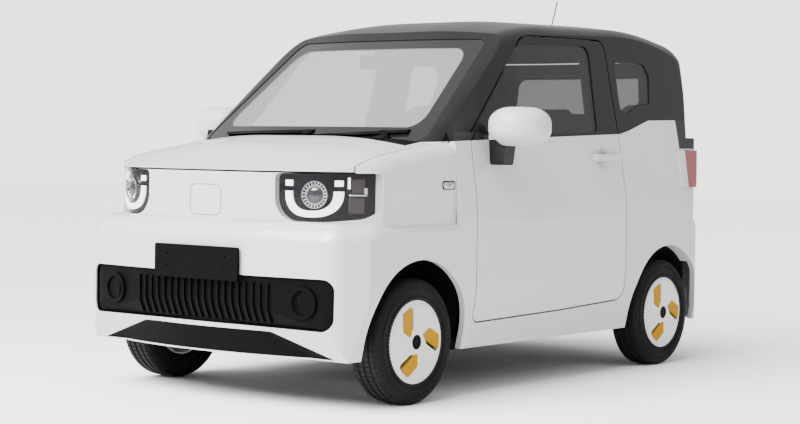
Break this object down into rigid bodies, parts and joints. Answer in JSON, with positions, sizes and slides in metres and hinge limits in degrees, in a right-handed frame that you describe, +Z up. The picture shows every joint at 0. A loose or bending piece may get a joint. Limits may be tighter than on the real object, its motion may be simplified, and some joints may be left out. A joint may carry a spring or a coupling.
{
  "type": "microcar",
  "caption": "Small two-door electric city car with rounded white body, dark roof and pillars, round-edged lamps, slatted lower grille, opening doors, lids and steered wheels.",
  "frame": {"origin": "on the ground, at the centre of the bounding box's base", "axes": "+X to the car's left, +Y to the rear, +Z up; the car faces -Y"},
  "size_m": [1.95, 2.98, 1.789],
  "materials": {
    "white_paint": "gloss",
    "black_paint": "gloss",
    "underbody": "matt",
    "dark_plastic": "satin",
    "lamp_black": "gloss",
    "light_white": "gloss",
    "chrome": "polished",
    "clear_lens": "clear",
    "tinted_glass": "clear",
    "red_lens": "gloss",
    "seat_cloth": "woven",
    "steel": "satin",
    "tyre": "matt",
    "cover_white": "gloss",
    "blade_yellow": "gloss"
  },
  "bodies": {
    "body": {"floor_pan": "underbody", "body_side_left": "white_paint", "body_side_right": "white_paint", "cabin_frame": "black_paint", "roof_panel": "black_paint", "fender_left": "white_paint", "fender_right": "white_paint", "nose_panel": "white_paint", "front_bumper": "white_paint", "grille": "dark_plastic", "plate_bracket": "dark_plastic", "front_lip": "dark_plastic", "headlamps": "lamp_black", "lamp_lights": "light_white", "projectors": "chrome", "headlamp_lenses": "clear_lens", "windscreen": "tinted_glass", "cowl_panel": "dark_plastic", "wipers": "dark_plastic", "quarter_glass": "tinted_glass", "rear_bumper": "white_paint", "tail_lamps": "red_lens", "dashboard": "dark_plastic", "seat_left": "seat_cloth", "seat_right": "seat_cloth", "rear_bench": "seat_cloth", "front_suspension": "steel", "rear_axle": "steel", "battery_pack": "steel", "antenna": "dark_plastic", "interior_mirror": "dark_plastic"},
    "bonnet": {"bonnet": "white_paint"},
    "door_left": {"door_left": "white_paint", "door_frame_left": "black_paint", "door_glass_left": "tinted_glass", "mirror_left": "white_paint"},
    "door_right": {"door_right": "white_paint", "door_frame_right": "black_paint", "door_glass_right": "tinted_glass", "mirror_right": "white_paint"},
    "tailgate": {"tailgate": "white_paint", "tailgate_frame": "black_paint", "tailgate_glass": "tinted_glass"},
    "charge_flap": {"charge_flap": "white_paint"},
    "knuckle_left": {"knuckle_left": "steel"},
    "knuckle_right": {"knuckle_right": "steel"},
    "steering_wheel": {"steering_wheel": "dark_plastic"},
    "wheel_front_left": {"tyre_front_left": "tyre", "wheel_front_left": "cover_white", "blades_front_left": "blade_yellow"},
    "wheel_front_right": {"tyre_front_right": "tyre", "wheel_front_right": "cover_white", "blades_front_right": "blade_yellow"},
    "wheel_rear_left": {"tyre_rear_left": "tyre", "wheel_rear_left": "cover_white", "blades_rear_left": "blade_yellow"},
    "wheel_rear_right": {"tyre_rear_right": "tyre", "wheel_rear_right": "cover_white", "blades_rear_right": "blade_yellow"}
  },
  "joints": [
    {"name": "steer_left", "type": "hinge", "parent": "body", "child": "knuckle_left", "pos_m": [0.545, -0.96, 0.254], "axis": [0, 0, 1], "range_deg": [-32, 32]},
    {"name": "steer_right", "type": "hinge", "parent": "body", "child": "knuckle_right", "pos_m": [-0.545, -0.96, 0.254], "axis": [0, 0, 1], "range_deg": [-32, 32]},
    {"name": "steering_turn", "type": "hinge", "parent": "body", "child": "steering_wheel", "pos_m": [0.33, -0.285, 0.885], "axis": [0, 0.9006, 0.4348], "range_deg": [-448, 448]},
    {"name": "wheel_front_left_spin", "type": "hinge", "parent": "knuckle_left", "child": "wheel_front_left", "pos_m": [0.645, -0.96, 0.254], "axis": [1, 0, 0], "continuous": true},
    {"name": "wheel_front_right_spin", "type": "hinge", "parent": "knuckle_right", "child": "wheel_front_right", "pos_m": [-0.645, -0.96, 0.254], "axis": [1, 0, 0], "continuous": true},
    {"name": "wheel_rear_left_spin", "type": "hinge", "parent": "body", "child": "wheel_rear_left", "pos_m": [0.645, 1, 0.254], "axis": [1, 0, 0], "continuous": true},
    {"name": "wheel_rear_right_spin", "type": "hinge", "parent": "body", "child": "wheel_rear_right", "pos_m": [-0.645, 1, 0.254], "axis": [1, 0, 0], "continuous": true},
    {"name": "door_left_hinge", "type": "hinge", "parent": "body", "child": "door_left", "pos_m": [0.735, -0.545, 0.7], "axis": [0, 0, -1], "range_deg": [0, 65]},
    {"name": "door_right_hinge", "type": "hinge", "parent": "body", "child": "door_right", "pos_m": [-0.735, -0.545, 0.7], "axis": [0, 0, 1], "range_deg": [0, 65]},
    {"name": "bonnet_hinge", "type": "hinge", "parent": "body", "child": "bonnet", "pos_m": [0, -0.8965, 1.0705], "axis": [-1, 0, 0], "range_deg": [0, 50]},
    {"name": "tailgate_hinge", "type": "hinge", "parent": "body", "child": "tailgate", "pos_m": [0, 1.38, 1.511], "axis": [1, 0, 0], "range_deg": [0, 75]},
    {"name": "charge_flap_hinge", "type": "hinge", "parent": "body", "child": "charge_flap", "pos_m": [-0.085, -1.4385, 0.802], "axis": [0, 0, -1], "range_deg": [0, 100]}
  ],
  "couplings": [
    {"joint": "steer_right", "follows": "steer_left", "ratio": 1},
    {"joint": "steering_turn", "follows": "steer_left", "ratio": 14}
  ]
}
